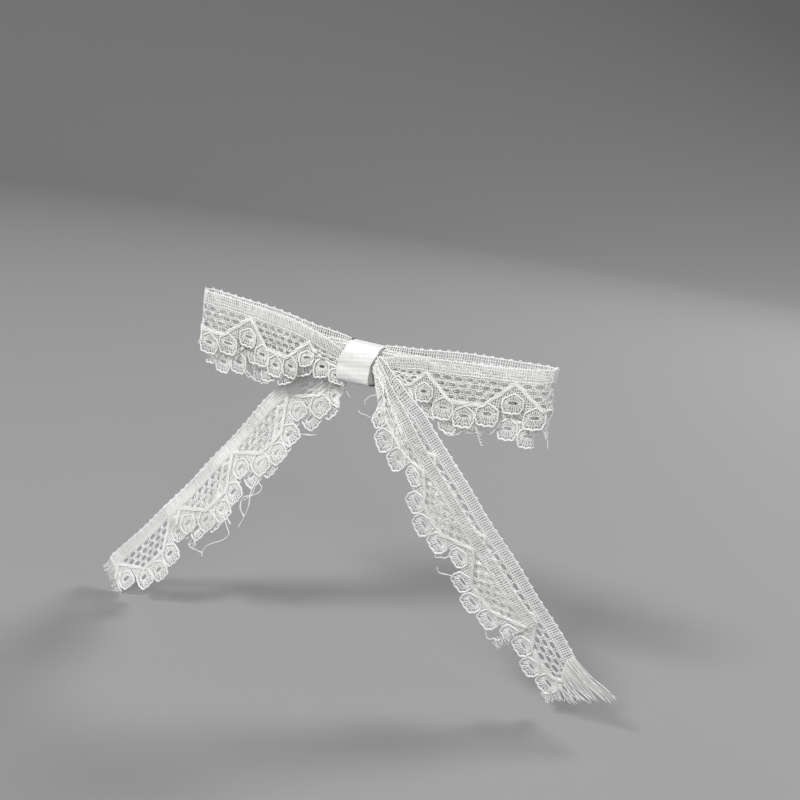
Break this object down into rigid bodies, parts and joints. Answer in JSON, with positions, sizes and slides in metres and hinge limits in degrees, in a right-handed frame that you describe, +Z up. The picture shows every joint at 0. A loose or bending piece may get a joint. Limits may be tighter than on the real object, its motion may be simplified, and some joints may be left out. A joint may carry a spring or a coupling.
{
  "type": "hair bow",
  "caption": "Lace hair bow with looped wings and hanging tails, bound with a satin ribbon to a small snap barrette that opens and closes on the hair.",
  "frame": {"origin": "middle of the gap that grips the hair, between the tension spring and the clasp arm, at the bow's centre", "axes": "+X along the clip towards the right loop seen from the front, +Y from the front of the bow towards the hair, +Z up, the tails hang towards -Z"},
  "size_m": [0.1132, 0.0178, 0.0689],
  "materials": {
    "lace": "matt cotton lace",
    "satin_ribbon": "white satin, soft sheen",
    "thread": "cotton sewing thread",
    "nickel_steel": "bright nickel plate",
    "spring_steel": "brushed spring steel"
  },
  "bodies": {
    "bow": {"base_plate": "nickel_steel", "hinge_pin": "nickel_steel", "catch_foot": "spring_steel", "catch_rivet": "nickel_steel", "outer_loop_right": "lace", "outer_loop_left": "lace", "inner_loop_right": "lace", "inner_loop_left": "lace", "right_tail_front": "lace", "right_tail_back": "lace", "left_tail_front": "lace", "left_tail_back": "lace", "gathered_centre": "lace", "binding_thread": "thread", "satin_wrap": "satin_ribbon"},
    "arm": {"clasp_arm": "nickel_steel"},
    "spring": {"tension_spring": "spring_steel"},
    "prong_upper": {"catch_prong_upper": "spring_steel"},
    "prong_lower": {"catch_prong_lower": "spring_steel"}
  },
  "joints": [
    {"name": "clasp_hinge", "type": "hinge", "parent": "bow", "child": "arm", "pos_m": [-0.0192, 0.00355, 0], "axis": [0, 0, 1], "range_deg": [0, 90]},
    {"name": "spring_press", "type": "slide", "parent": "bow", "child": "spring", "axis": [0, -1, 0], "range_m": [0, 0.0007], "stiffness_N_per_m": 1500, "deforming": ["tension_spring"]},
    {"name": "upper_prong_squeeze", "type": "hinge", "parent": "bow", "child": "prong_upper", "pos_m": [0.019, -0.00025, 0.00135], "axis": [-1, 0, 0], "range_deg": [0, 7], "stiffness_Nm_per_rad": 0.1},
    {"name": "lower_prong_squeeze", "type": "hinge", "parent": "bow", "child": "prong_lower", "pos_m": [0.019, -0.00025, -0.00135], "axis": [1, 0, 0], "range_deg": [0, 7], "stiffness_Nm_per_rad": 0.1}
  ]
}
